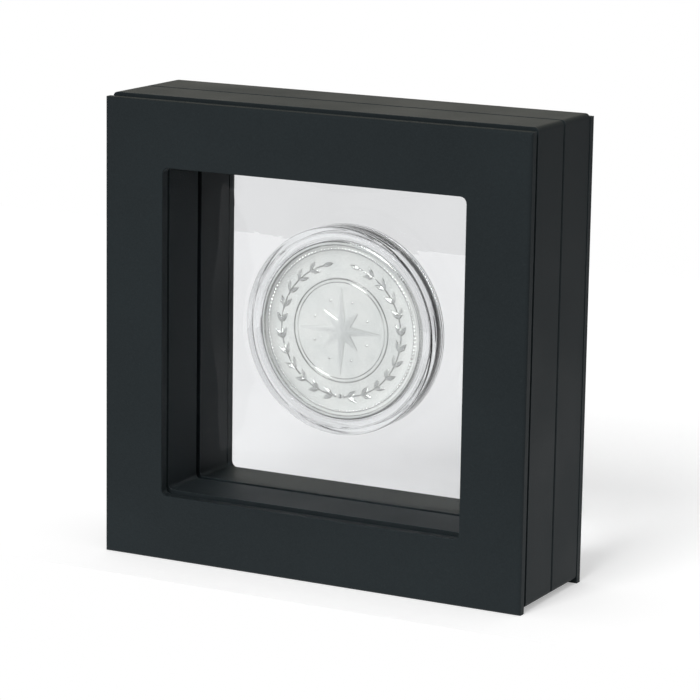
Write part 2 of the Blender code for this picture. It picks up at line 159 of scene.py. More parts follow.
def rotation(name, description, degrees):
    """An angle."""
    return FloatProperty(
        name=name,
        description=description,
        default=math.radians(degrees),
        subtype="ANGLE",
        unit="ROTATION",
    )


def colour(name, description, default):
    """A colour."""
    return FloatVectorProperty(
        name=name,
        description=description,
        default=default,
        size=3,
        min=0.0,
        max=1.0,
        subtype="COLOR",
    )


class PlasticLook(bpy.types.PropertyGroup):
    """The matt moulded plastic of the plates, shells and rings."""

    deep: colour("Deep colour", "Colour in the hollows of the grain", (0.0150, 0.0198, 0.0222))
    pale: colour("Pale colour", "Colour on the crests of the grain", (0.0195, 0.0256, 0.0285))
    # This colour marks dust and rubbed edges, and also paints a highlight along every edge.
    wear_dust_and_highlight: colour("Worn colour", "Colour where handling has rubbed the edges", (0.050, 0.064, 0.068))
    roughness: share("Roughness", "How matt the plastic is", 0.56)
    sheen: share("Sheen", "How much light the plastic mirrors", 0.12)
    dust: share("Dust", "How pale the flecks of dust are", 0.06)
    grain: length("Grain", "Size of one speck of the grain", 0.32 * MM)
    cloud: length("Cloud", "Size of the soft patches where the finish varies", 22 * MM)
    relief: length("Relief", "How deep the grain is", 0.022 * MM)
    # This band along the edges is partly wear and partly a painted highlight.
    wear_and_highlight_width: length("Wear width", "How far the rubbed edge reaches", 0.35 * MM)
    wear_patch: length("Wear patch", "Size of the patches that wear leaves", 4 * MM)


class FilmLook(bpy.types.PropertyGroup):
    """The two clear elastic films."""

    thickness: length("Thickness", "Thickness of the stretched film", 0.2 * MM)
    opening: length("Opening", "Width of the window that the film spans", 71.7 * MM)
    corner: length("Corner", "Corner radius of that window", 1.0 * MM)
    lip: length("Lip", "Width of the lip that the film turns over", 1.8 * MM)
    turn_start: length("Turn start", "How far past the lip the film starts to drop", 0.15 * MM)
    turn: length("Turn", "How far it takes to reach the clamped level", 0.6 * MM)
    plane: length("Plane", "Depth of the film where it crosses the lip", 0.5 * MM)
    seat: length("Seat", "Depth of its clamped border", 1.35 * MM)
    shoulder: length("Shoulder", "How far the film bends round the capsule's edge", 0.9 * MM)
    pleat: length("Pleat", "Height of the soft folds that run to the corners", 0.10 * MM)
    tint: colour("Tint", "Colour of light that has crossed the film", (0.885, 0.889, 0.895))
    shade: colour("Shade", "What a face of the film lets through to its shadow", (0.98, 0.98, 0.98))
    ripple: length("Ripple", "Size of the faint unevenness of the film", 9 * MM)
    scuff: length("Scuff", "Size of its finest marks", 0.7 * MM)
    bend: number("Bend", "How much the film bends and mirrors light", 1.24, least=1.0)
    side_steps: whole_number("Side steps", "Points along each side", 28, least=4)
    corner_steps: whole_number("Corner steps", "Points round each corner", 6, least=2)
    rings: whole_number("Rings", "Rings from the window to the capsule", 26, least=4)


class CapsuleLook(bpy.types.PropertyGroup):
    """The clear round capsule, a cup and a lid."""

    wall: length("Wall", "Thickness of the cup's wall, the lid's skirt and both discs", 1.3 * MM)
    fit: length("Fit", "Clearance between the cup and the lid, and round the coin", 0.3 * MM)
    flange: length("Flange", "Thickness of the cup's flange", 0.8 * MM)
    step_in: length("Step in", "How far the raised face ends inside the outer edge", 1.5 * MM)
    step_height: length("Step height", "How far the face stands above its shoulder", 0.25 * MM)
    outer_round: length("Outer round", "Radius of the outer edge", 0.5 * MM)
    small_round: length("Small round", "Radius of every other edge", 0.14 * MM)
    tint: colour("Tint", "Colour of the acrylic", (0.985, 0.99, 0.992))
    haze: length("Haze", "Size of the patches of its faint haze", 5 * MM)
    hairline: length("Hairline", "Size of its finest marks", 0.25 * MM)
    bend: number("Bend", "How much the acrylic bends and mirrors light", 1.37, least=1.0)
    steps: whole_number("Steps", "Faces round the capsule", 192, least=24)


class CoinLook(bpy.types.PropertyGroup):
    """The struck silver coin, with beads, a laurel wreath and a compass star."""

    reeds: whole_number("Reeds", "Grooves in the edge", 180, least=12)
    reed_depth: length("Reed depth", "Depth of a groove in the edge", 0.16 * MM)
    rim: length("Rim", "Width of the flat rim", 0.75 * MM)
    field: length("Field", "How far the field lies below the rim", 0.26 * MM)
    dish: length("Dish", "How far the middle of the field lies below its border", 0.05 * MM)
    beads: whole_number("Beads", "Beads in the ring inside the rim", 132, least=12)
    bead_radius: length("Bead radius", "Radius of one bead", 0.32 * MM)
    bead_ring: length("Bead ring", "Radius of the ring of beads", 17.5 * MM)
    wreath: length("Wreath", "Radius of the wreath's stems", 14.3 * MM)
    leaf: length("Leaf", "Length of a laurel leaf", 2.6 * MM)
    leaf_pairs: whole_number("Leaf pairs", "Pairs of leaves on a branch", 11, least=3)
    star: length("Star", "Reach of the star's long points", 9.4 * MM)
    star_ring: length("Star ring", "Radius of the ring round the star", 11.2 * MM)
    petals: whole_number("Petals", "Petals of the rosette on the back", 12, least=5)
    relief: length("Relief", "Height of the raised design above the field", 0.21 * MM)
    # The bright colour also paints a highlight along every edge of the design.
    bright: colour("Bright", "Colour of the polished high points", (0.955, 0.965, 0.935))
    toned: colour("Toned", "Colour of the faintly toned field", (0.865, 0.885, 0.860))
    # The hollow colour is painted shade, laid in the corners of the design where shadow falls.
    hollow: colour("Hollow", "Colour in the corners of the design", (0.52, 0.53, 0.54))
    bloom: length("Bloom", "Size of the soft patches of tone", 7 * MM)
    grain: length("Grain", "Size of the grain that the strike leaves", 0.12 * MM)
    roughness: share("Roughness", "How satin the struck field is", 0.19)


class StageLook(bpy.types.PropertyGroup):
    """The camera, lamp, world and floor."""

    camera: FloatVectorProperty(
        name="Camera",
        description="Where the camera stands",
        default=(0.31667, -0.60003, 0.18874),
        size=3,
        subtype="TRANSLATION",
        unit="LENGTH",
    )
    yaw: rotation("Yaw", "How far the camera turns to the left", 27.699)
    pitch: rotation("Pitch", "How far the camera tilts down", 11.750)
    roll: rotation("Roll", "How far the camera turns about its view", 0.896)
    lens: number("Lens", "Focal length in millimetres", 167.11, least=1.0)
    ambient: share("Ambient", "Light that comes from all round", 0.505)
    surroundings: share("Surroundings", "Brightness of the room that gloss picks up", 0.19)
    beneath: share("Beneath", "Brightness of the room below the edge of the floor", 0.20)
    warmth: colour("Warmth", "Colour of the light from above", (1.0, 0.965, 0.80))
    card: number("Card", "Brightness of the white cards that light the coin", 1.27)
    card_rise: rotation("Card rise", "How far the cards stand above the coin's mirror line", 7)
    card_turn: rotation("Card turn", "How far the cards stand outside of that line", 13)
    backdrop: share("Backdrop", "Brightness of the screen seen through clear pieces", 0.92)
    backdrop_foot: number("Backdrop foot", "Brightness of that screen low down", 1.15)
    key: number("Key", "Strength of the soft lamp in front", 1.9)
    key_spread: rotation("Key spread", "How wide the lamp looks from the frame", 26)
    floor: colour("Floor", "Colour of the floor", (0.82, 0.82, 0.82))
    floor_glow: share("Floor glow", "What lifts the floor to white in the picture", 0.335)
    window_glow: share("Window glow", "What lifts the floor seen through clear pieces", 0.44)
    window_fade: share("Window fade", "What is left of that at the floor's far edge", 0.18)
    floor_left: length("Floor left", "How far the floor reaches to the left", 0.60)
    floor_right: length("Floor right", "How far the floor reaches to the right", 0.17)
    floor_front: length("Floor front", "How far the floor reaches to the front", 0.03)
    floor_back: length("Floor back", "How far the floor reaches to the back", 0.36)


class CoinFrameLook(bpy.types.PropertyGroup):
    """Everything that a user can change."""

    plastic: PointerProperty(type=PlasticLook)
    film: PointerProperty(type=FilmLook)
    capsule: PointerProperty(type=CapsuleLook)
    coin: PointerProperty(type=CoinLook)
    stage: PointerProperty(type=StageLook)


def rgba(value):
    """A colour with its alpha, or the socket that feeds one."""
    if isinstance(value, bpy.types.NodeSocket):
        return value
    return (*value, 1.0)


class ShaderBoard:
    """Lays out the shader nodes of one material or world."""

    def __init__(self, owner):
        owner.use_nodes = True
        self.owner = owner
        self.tree = owner.node_tree
        self.tree.nodes.clear()

    def node(self, kind, inputs=None, **settings):
        """Adds a node. An input's value is a number or colour, or the socket that feeds it."""
        made = self.tree.nodes.new(kind)
        for name, value in settings.items():
            setattr(made, name, value)
        for key, value in (inputs or {}).items():
            if isinstance(value, bpy.types.NodeSocket):
                self.tree.links.new(value, made.inputs[key])
            else:
                made.inputs[key].default_value = value
        return made

    def place(self):
        """The place on the piece, in metres."""
        return self.node("ShaderNodeTexCoord").outputs["Object"]

    def noise(self, size, low=0.0, high=1.0, detail=3.0, place=None, sharpness=0.35):
        """Noise whose cells are about size metres across, stretched to run from low to high."""
        inputs = {"Vector": place or self.place(), "Scale": 1.0 / size, "Detail": detail}
        raw = self.node("ShaderNodeTexNoise", inputs).outputs["Fac"]
        return self.remap(raw, sharpness, 1.0 - sharpness, low, high)

    def remap(self, value, start, end, low=0.0, high=1.0):
        """Low up to start, high from end on, and even steps between them."""
        inputs = {
            "Value": value,
            "From Min": start,
            "From Max": end,
            "To Min": low,
            "To Max": high,
        }
        return self.node("ShaderNodeMapRange", inputs, clamp=True).outputs["Result"]

    def maths(self, operation, first, *others):
        """Works through the values from the left."""
        for other in others:
            inputs = {0: first, 1: other}
            first = self.node("ShaderNodeMath", inputs, operation=operation).outputs[0]
        return first

    def unbounced(self, depth):
        """1 for a ray that hasn't bounced in that way yet, and 0 for one that has."""
        return self.maths("LESS_THAN", depth, 0.5)

    def weigh(self, part, first, second):
        """Part of the first value and the rest of the second."""
        first = self.maths("MULTIPLY", first, part)
        return self.maths("ADD", first, self.maths("MULTIPLY", second, 1 - part))

    def blend(self, factor, first, second):
        """Mixes two colours."""
        inputs = {0: factor, 6: rgba(first), 7: rgba(second)}
        return self.node("ShaderNodeMix", inputs, data_type="RGBA").outputs[2]

    def dot(self, first, second):
        """The dot product of two vectors."""
        inputs = {0: first, 1: second}
        product = self.node("ShaderNodeVectorMath", inputs, operation="DOT_PRODUCT")
        return product.outputs["Value"]

    def edges(self, width, start=0.985, end=0.80):
        """A mask that is 1 on sharp edges and 0 on flat faces."""
        rounded = self.node("ShaderNodeBevel", {"Radius": width}, samples=6).outputs["Normal"]
        plain = self.node("ShaderNodeNewGeometry").outputs["Normal"]
        return self.remap(self.dot(rounded, plain), start, end)

    def roughness(self, middle, patches, swing, polished=None, gain=0.12):
        """Roughness that swings about its middle, and drops by gain where it is polished."""
        rough = self.maths("ADD", self.maths("MULTIPLY", patches, swing), middle - swing / 2)
        if polished:
            rough = self.maths("SUBTRACT", rough, self.maths("MULTIPLY", polished, gain))
        return rough

    def bump(self, height, distance, strength):
        """A normal that follows the height's crests and hollows."""
        inputs = {"Height": height, "Distance": distance, "Strength": strength}
        return self.node("ShaderNodeBump", inputs).outputs["Normal"]

    def surface(self, **inputs):
        """The main shader, with underscores for the spaces in its inputs' names."""
        named = {name.replace("_", " "): value for name, value in inputs.items()}
        return self.node("ShaderNodeBsdfPrincipled", named).outputs["BSDF"]

    def finish(self, shader):
        """Feeds the shader to the material's output, and returns the material."""
        self.node("ShaderNodeOutputMaterial", {"Surface": shader})
        return self.owner

    def finish_clear(self, tint, bend, shade, ripple, strength):
        """Finishes a clear material that bends light for the eye and lets lamps straight through."""
        shader = self.surface(
            Base_Color=tint,
            Roughness=0.0,
            IOR=bend,
            Transmission_Weight=1.0,
            Normal=self.bump(ripple, FINE_RELIEF, strength),
        )
        clear = self.node("ShaderNodeBsdfTransparent", {"Color": rgba(shade)}).outputs["BSDF"]
        shadow = self.node("ShaderNodeLightPath").outputs["Is Shadow Ray"]
        mixed = self.node("ShaderNodeMixShader", {0: shadow, 1: shader, 2: clear})
        return self.finish(mixed.outputs["Shader"])


def material_board(name):
    """A board for a new material."""
    return ShaderBoard(bpy.data.materials.new(name))


def soft_touch_plastic(look):
    """Charcoal plastic with a fine matt grain, soft clouds of finish, and rubbed edges that carry a
    painted highlight.
    """
    board = material_board("soft_touch_plastic")
    grain = board.noise(look.grain, detail=2.0)
    cloud = board.noise(look.cloud, detail=4.0)
    fleck_size = look.grain * 2.4
    dust = board.noise(fleck_size, detail=1.0, sharpness=0.28)
    grain_part = 0.45
    body = board.blend(board.weigh(grain_part, grain, cloud), look.deep, look.pale)
    body = board.blend(board.remap(dust, 0.90, 1.0, high=look.dust), body, look.wear_dust_and_highlight)
    patches = board.noise(look.wear_patch, low=0.35, high=0.85)
    # A paler band on the edges: wear in patches, and a painted highlight where light catches them.
    rubbed_and_highlit = board.maths("MULTIPLY", board.edges(look.wear_and_highlight_width), patches)
    shader = board.surface(
        Base_Color=board.blend(rubbed_and_highlit, body, look.wear_dust_and_highlight),
        Roughness=board.roughness(look.roughness, cloud, swing=0.08, polished=rubbed_and_highlit),
        Specular_IOR_Level=look.sheen,
        Normal=board.bump(grain, look.relief, strength=0.55),
    )
    return board.finish(shader)


def stretched_film(look):
    """Clear elastic film: glossy, faintly grey, a little uneven where it is pulled."""
    board = material_board("stretched_film")
    ripple = board.noise(look.ripple, detail=2.0)
    scuff = board.noise(look.scuff)
    gain, scuff_part = 0.012, 0.25
    clearer = [min(1.0, part + gain) for part in look.tint]
    tint = board.blend(board.weigh(scuff_part, scuff, ripple), look.tint, clearer)
    return board.finish_clear(tint, look.bend, look.shade, ripple, strength=0.5)


def clear_acrylic(look):
    """Polished clear acrylic with a trace of haze and hairline scuffs."""
    board = material_board("clear_acrylic")
    haze = board.noise(look.haze)
    hairs = board.noise(look.hairline, detail=4.0)
    loss = 0.01
    darker = [part - loss for part in look.tint]
    tint = board.blend(board.maths("MULTIPLY", haze, hairs), look.tint, darker)
    return board.finish_clear(tint, look.bend, look.tint, haze, strength=0.4)


def struck_silver(look):
    """Satin silver, faintly toned in the field, with painted shade in the corners of the design and
    edges brightened partly by polish, partly by a painted highlight.
    """
    board = material_board("struck_silver")
    bloom = board.noise(look.bloom)
    grain = board.noise(look.grain, detail=2.0)
    edge_width, corner_shade_width = 0.10 * MM, 0.5 * MM
    # Edges get the bright colour: partly polish, partly a painted highlight.
    high = board.edges(edge_width, start=0.99, end=0.86)
    # Painted shade: the corners of the design are darkened towards the hollow colour.
    corners = board.node("ShaderNodeAmbientOcclusion", {"Distance": corner_shade_width}, samples=6)
    painted_corner_shade = board.remap(corners.outputs["AO"], 0.55, 0.95, low=0.30, high=0.0)
    polish_and_highlight = 0.7
    base = board.blend(bloom, look.toned, look.bright)
    base = board.blend(painted_corner_shade, base, look.hollow)
    base = board.blend(board.maths("MULTIPLY", high, polish_and_highlight), base, look.bright)
    shader = board.surface(
        Base_Color=base,
        Metallic=1.0,
        Roughness=board.roughness(look.roughness, bloom, swing=0.08, polished=high),
        Normal=board.bump(grain, FINE_RELIEF, strength=0.35),
    )
    return board.finish(shader)


def drawn_wire():
    """Bright steel wire with fine lines along its length."""
    board = material_board("drawn_steel_wire")
    line_width, line_depth = 0.06 * MM, 0.005 * MM
    along = {"Vector": board.place(), "Scale": (0.03, 1.0, 1.0)}
    place = board.node("ShaderNodeMapping", along).outputs["Vector"]
    lines = board.noise(line_width, place=place)
    shader = board.surface(
        Base_Color=board.blend(lines, (0.50, 0.51, 0.52), (0.68, 0.69, 0.70)),
        Metallic=1.0,
        Roughness=board.roughness(0.28, lines, swing=0.12),
        Normal=board.bump(lines, line_depth, strength=0.5),
    )
    return board.finish(shader)


class Shape:
    """Points and faces of closed solids, gathered into one mesh."""

    def __init__(self, points=(), faces=()):
        self.points = []
        self.faces = []
        self.add(points, faces)

    def add(self, points, faces):
        """Adds points, and faces that count them from 0."""
        start = len(self.points)
        self.points += [tuple(point) for point in points]
        self.faces += [tuple(start + index for index in face) for face in faces]

    def join(self, other, move=None):
        """Adds another shape, after move has mapped each of its points."""
        points = [move(Vector(point)) for point in other.points] if move else other.points
        self.add(points, other.faces)

    def put(self, other, angle, out=0.0, turn=0.0):
        """Adds another shape, turned about its foot and set at a radius and an angle."""
        outwards = Matrix.Translation((out, 0, 0))
        place = Matrix.Rotation(angle, 4, "Z") @ outwards @ Matrix.Rotation(turn, 4, "Z")
        self.join(other, lambda point: place @ point)

    def ring(self, other, copies, out, first=0.0):
        """Adds copies of another shape round a circle, the first so many steps along it."""
        for index in range(copies):
            self.put(other, FULL_TURN * (index + first) / copies, out)

    def object(self, name, sharp=SHARP_ANGLE):
        """Makes the shape an object of the scene, smooth but for its sharp edges."""
        mesh = bpy.data.meshes.new(name)
        mesh.from_pydata(self.points, [], self.faces)
        working = bmesh.new()
        working.from_mesh(mesh)
        bmesh.ops.recalc_face_normals(working, faces=working.faces)
        working.to_mesh(mesh)
        working.free()
        mesh.shade_smooth()
        mesh.set_sharp_from_angle(angle=sharp)
        made = bpy.data.objects.new(name, mesh)
        bpy.context.scene.collection.objects.link(made)
        return made


def body_of(node):
    """The body that a node rides on."""
    for body, members in frame["record"]["behaviour"]["bodies"].items():
        if node in members:
            return body
    raise RuntimeError(f"{node} rides on no body")


def stand_for(piece, node, material):
    """Puts a finished piece in its node's place, on its body."""
    piece.data.materials.clear()
    piece.data.materials.append(material)
    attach(piece, body_of(node))
    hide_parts(node)


def dress(names, material):
    """Gives carried-over nodes a better finish."""
    for name in names:
        node = frame["nodes"][name]
        if not node.material_slots:
            raise RuntimeError(f"{name} has no material slot")
        for material_slot in node.material_slots:
            material_slot.material = material


def seam():
    """The depth of the plane where the two halves meet."""
    return (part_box("front_membrane")[0].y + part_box("rear_membrane")[1].y) / 2


def height_of(node):
    """The height of a node's middle."""
    low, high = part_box(node)
    return (low.z + high.z) / 2


def grid_faces(rows, columns, closed=True, looped=False):
    """Quads between rows of points.

    Closed rows join their last point to their first, and looped ones the last row to the first.
    """
    faces = []
    for row in range(rows if looped else rows - 1):
        near = row * columns
        far = (row + 1) % rows * columns
        for column in range(columns if closed else columns - 1):
            following = (column + 1) % columns
            faces.append((near + column, near + following, far + following, far + column))
    return faces


def fan_faces(start, count, tip):
    """Triangles from a closed row of points to one tip."""
    return [(start + index, start + (index + 1) % count, tip) for index in range(count)]


def around(radius, angle):
    """The point at a radius and an angle about (0, 0)."""
    return radius * math.cos(angle), radius * math.sin(angle)


def rounded_outline(side, radius, look):
    """Points of a rounded square about (0, 0), anticlockwise, as many for every size."""
    corners = ((1, 1), (-1, 1), (-1, -1), (1, -1))
    reach = side / 2 - radius

    def spot(quarter, part):
        """A point on a corner, part of the way round it."""
        right, up = corners[quarter % 4]
        x, y = around(radius, (quarter + part) * math.pi / 2)
        return right * reach + x, up * reach + y

    outline = []
    for quarter in range(4):
        for step in range(look.corner_steps + 1):
            outline.append(spot(quarter, step / look.corner_steps))
        begin, end = outline[-1], spot(quarter + 1, 0)
        for step in range(1, look.side_steps):
            part = step / look.side_steps
            outline.append(tuple(near + (far - near) * part for near, far in zip(begin, end)))
    return outline


def settle(depths, spans, angles):
    """Relaxes the film between the window and the capsule to the shape of least tension."""
    across = (depths.shape[0] - 1) ** 2 / spans**2
    around = 1.0 / angles**2
    for _ in range(SETTLING_ROUNDS):
        inner = depths[1:-1]
        sides = np.roll(inner, 1, axis=1) + np.roll(inner, -1, axis=1)
        stack = depths[2:] + depths[:-2]
        depths[1:-1] = (across * stack + around * sides) / (2 * across + 2 * around)
    return depths


def pleats(bearings):
    """A soft ridge between two hollows, from the capsule to each of the four corners."""
    ridge_width, hollow_width = 0.16, 0.13
    hollow_place, hollow_depth = 0.34, 0.8
    total = np.zeros(len(bearings))
    for corner in range(4):
        away = np.angle(np.exp(1j * (bearings - math.radians(45 + 90 * corner))))
        ridge = np.exp(-((away / ridge_width) ** 2))
        hollow = np.exp(-(((np.abs(away) - hollow_place) / hollow_width) ** 2))
        total += ridge - hollow_depth * hollow
    return total


def tent(look, centre, radius, crown):
    """Rows of (x, z, depth) from the window's edge to the capsule's face."""
    window = (0.0, height_of("front_membrane"))
    outline = np.array(rounded_outline(look.opening, look.corner, look)) + np.array(window)
    spokes = outline - centre
    reach = np.linalg.norm(spokes, axis=1)
    headings = spokes / reach[:, None]
    bearings = np.unwrap(np.arctan2(headings[:, 1], headings[:, 0]))
    angles = np.abs(np.roll(bearings, -1) - np.roll(bearings, 1)) / 2
    # The bearings jump by a full turn where the outline closes.
    angles[0] = angles[-1] = angles[1]
    least_angle = 0.004
    fold_pace = 1.15
    spans = np.log(reach / radius)
    steps = np.linspace(1.0, 0.0, look.rings + 1)
    depths = crown + (look.plane - crown) * steps[:, None] * np.ones(len(reach))
    depths = settle(depths, spans, np.maximum(angles, least_angle))
    rows = []
    for step, row in zip(steps, depths):
        lengths = radius * (reach / radius) ** step
        places = centre + headings * lengths[:, None]
        # The folds end a little inside the window's edge.
        swell = math.sin(math.pi * min(1.0, step * fold_pace))
        lift = look.pleat * swell * pleats(bearings)
        rows.append([(x, z, depth + rise) for (x, z), depth, rise in zip(places, row, lift)])
    return rows


def film_rows(look, centre, radius, crown):
    """All rows of a film, from its clamped border inwards."""
    clamped_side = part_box("front_membrane")[1].x * 2
    lip_side = look.opening + 2 * look.lip
    middle = height_of("front_membrane")
    borders = [(clamped_side, look.corner, look.seat)]
    for step in range(TURN_ROWS):
        part = 1 - step / (TURN_ROWS - 1)
        drop = (1 - math.cos(math.pi * part)) / 2
        side = lip_side + 2 * (look.turn_start + look.turn * part)
        borders.append((side, look.lip, look.plane + (look.seat - look.plane) * drop))
    rows = []
    for side, corner, depth in borders:
        rows.append([(x, z + middle, depth) for x, z in rounded_outline(side, corner, look)])
    rows += tent(look, centre, radius, crown)
    rim = np.array(rows[-1])[:, :2]
    for part in FACE_ROWS:
        rows.append([(x, z, crown) for x, z in centre + (rim - centre) * part])
    return rows


def film(side, look):
    """One film, lofted from its clamped square border over the round capsule."""
    name = HALF_NAMES[side]
    low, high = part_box(f"{name}_membrane")
    centre = np.array((0.0, height_of("capsule_base")))
    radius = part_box("capsule_base")[1].x + look.shoulder / 3
    meeting = seam()
    crown = max(meeting - low.y, high.y - meeting) - look.thickness / 2
    rows = film_rows(look, centre, radius, crown)
    points = [(x, meeting + side * depth, z) for row in rows for x, z, depth in row]
    middle = (centre[0], meeting + side * crown, centre[1])
    columns = len(rows[0])
    faces = grid_faces(len(rows), columns)
    faces += fan_faces(len(points) - columns, columns, len(points))
    sheet = Shape([*points, middle], faces).object(f"{name}_film", sharp=math.pi)
    thicken = sheet.modifiers.new("film thickness", "SOLIDIFY")
    thicken.thickness = look.thickness
    thicken.offset = 0.0
    graph = bpy.context.evaluated_depsgraph_get()
    solid = bpy.data.meshes.new_from_object(sheet.evaluated_get(graph))
    sheet.modifiers.clear()
    sheet.data = solid
    return sheet


def softened(profile, steps=4):
    """Rounds the corners of a profile of (radius, depth, corner radius) points."""
    places = []
    for index, (radius, depth, corner) in enumerate(profile):
        here = Vector((radius, depth))
        if not corner:
            places.append((here.x, here.y))
            continue
        before = (Vector(profile[index - 1][:2]) - here).normalized()
        after = (Vector(profile[index + 1][:2]) - here).normalized()
        half = before.angle(after) / 2
        run = corner / math.tan(half)
        middle = here + (before + after).normalized() * corner / math.sin(half)
        start = here + before * run - middle
        sweep = math.pi - 2 * half
        turning = math.copysign(sweep, before.x * after.y - before.y * after.x)
        for step in range(steps + 1):
            angle = -turning * step / steps
            cosine, sine = math.cos(angle), math.sin(angle)
            spun = Vector((start.x * cosine - start.y * sine, start.x * sine + start.y * cosine))
            places.append((middle.x + spun.x, middle.y + spun.y))
    return places


def turned(profile, height, steps, reeds=None):
    """A closed shape turned about the capsule's axis from (radius, depth) points.

    The profile starts and ends on the axis. reeds maps a step to what it takes off each radius
    that a third value marks.
    """
    points = []
    rings = []
    for radius, depth, *marks in profile:
        if radius < WELD:
            rings.append([len(points)])
            points.append((0.0, depth, height))
            continue
        ring = []
        for step in range(steps):
            real = radius - (reeds(step) * marks[0] if marks and reeds else 0.0)
            x, z = around(real, FULL_TURN * step / steps)
            ring.append(len(points))
            points.append((x, depth, height + z))
        rings.append(ring)
    faces = []
    for near, far in zip(rings, rings[1:]):
        for step in range(steps):
            following = (step + 1) % steps
            if len(near) == 1:
                faces.append((near[0], far[following], far[step]))
            elif len(far) == 1:
                faces.append((near[step], near[following], far[0]))
            else:
                faces.append((near[step], near[following], far[following], far[step]))
    return Shape(points, faces)


def capsule_profiles(look):
    """The (radius, depth, corner radius) points of the lid and of the cup, front side first."""
    lid_low, lid_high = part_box("capsule_lid")
    cup_low, cup_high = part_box("capsule_base")
    outer = lid_high.x
    skirt = outer - look.wall
    wall = skirt - look.fit
    pocket = wall - look.wall
    raised = outer - look.step_in
    step_foot = raised + look.step_height * 0.6
    small = look.small_round
    slight, soft = small * 0.7, small * 2
    face = lid_low.y
    ceiling = face + look.wall
    lid = [
        (0.0, face, 0.0),
        (raised, face, small),
        (step_foot, face + look.step_height, slight),
        (outer, face + look.step_height, look.outer_round),
        (outer, lid_high.y, small),
        (skirt, lid_high.y, small),
        (skirt, ceiling, small),
        (0.0, ceiling, 0.0),
    ]
    back = cup_high.y
    flange_top = back - look.flange
    floor = back - look.wall
    cup = [
        (0.0, back, 0.0),
        (raised, back, small),
        (step_foot, back - look.step_height, slight),
        (outer, back - look.step_height, look.outer_round * 0.6),
        (outer, flange_top, small),
        (wall, flange_top, small),
        (wall, cup_low.y, soft),
        (pocket, cup_low.y, soft),
        (pocket, floor, small),
        (0.0, floor, 0.0),
    ]
    return {"capsule_lid": lid, "capsule_base": cup}


def dome(radius, height, sunk, steps=10, rows=3):
    """A round boss standing on the field, its foot sunk below it."""
    levels = [(1.0, -sunk)]
    for row in range(rows):
        lift = row / rows * math.pi / 2
        levels.append((math.cos(lift), height * math.sin(lift)))
    points = []
    for part, level in levels:
        for step in range(steps):
            points.append((*around(radius * part, FULL_TURN * step / steps), level))
    faces = grid_faces(len(levels), steps)
    faces += fan_faces(len(points) - steps, steps, len(points))
    faces.append(tuple(range(steps)))
    return Shape([*points, (0.0, 0.0, height)], faces)


def leaf(size, width, height, sunk, vein=0.35):
    """A pointed leaf along +X from its foot, domed on each side of a sunk vein."""
    stations = (0.0, 0.08, 0.22, 0.38, 0.54, 0.70, 0.84, 0.94, 1.0)
    across = (-1.0, -0.72, -0.40, -0.10, 0.0, 0.10, 0.40, 0.72, 1.0)
    vein_width = 0.12
    narrowest = 0.004 * MM
    fullness = 0.82
    tops, feet = [], []
    for station in stations:
        # The leaf is widest a little before its middle.
        swell = math.sin(math.pi * min(1.0, station * 0.96 + 0.02) ** fullness)
        half = max(width / 2 * swell, narrowest)
        for place in across:
            arch = math.sqrt(max(0.0, 1 - place * place)) * (0.35 + 0.65 * swell)
            dip = vein * height * math.exp(-((place / vein_width) ** 2)) * swell
            tops.append((size * station, half * place, height * arch - dip))
            feet.append((size * station, half * place, -sunk))
    rows, columns = len(stations), len(across)
    count = rows * columns
    faces = grid_faces(rows, columns, closed=False)
    faces += [tuple(count + index for index in face) for face in faces]
    edge = [row * columns for row in range(rows)]
    edge += [(rows - 1) * columns + column for column in range(1, columns)]
    edge += [row * columns + columns - 1 for row in range(rows - 2, -1, -1)]
    edge += list(range(columns - 2, 0, -1))
    for first, second in zip(edge, edge[1:] + edge[:1]):
        faces.append((first, second, count + second, count + first))
    return Shape([*tops, *feet], faces)


def raised_arc(radius, start, end, width, height, sunk, steps=96):
    """A rounded ridge on the field along an arc, or a ring when it goes all the way round."""
    slope = ((-1.0, -sunk), (-1.0, 0.0), (-0.6, height * 0.75))
    section = (*slope, (0.0, height), *[(-out, level) for out, level in reversed(slope)])
    ring = math.isclose(end - start, FULL_TURN)
    points = []
    rows = steps if ring else steps + 1
    for row in range(rows):
        angle = start + (end - start) * row / steps
        for out, level in section:
            points.append((*around(radius + out * width / 2, angle), level))
    columns = len(section)
    faces = grid_faces(rows, columns, looped=ring)
    if not ring:
        faces.append(tuple(range(columns)))
        faces.append(tuple(range(len(points) - columns, len(points))))
    return Shape(points, faces)


def compass_star(reach, height, sunk):
    """A star of eight ridged points, four long and four short."""
    short = reach * 0.60
    valley = reach * 0.26
    edge = height * 0.35
    rim = []
    for point in range(8):
        angle = FULL_TURN * point / 8
        tip = short if point % 2 else reach
        rim.append((*around(tip, angle), edge))
        rim.append((*around(valley, angle + FULL_TURN / 16), edge))
    foot = [(x, y, -sunk) for x, y, _ in rim]
    count = len(rim)
    faces = fan_faces(0, count, 2 * count) + grid_faces(2, count)
    faces.append(tuple(range(count, 2 * count)))
    return Shape([*rim, *foot, (0.0, 0.0, height)], faces)


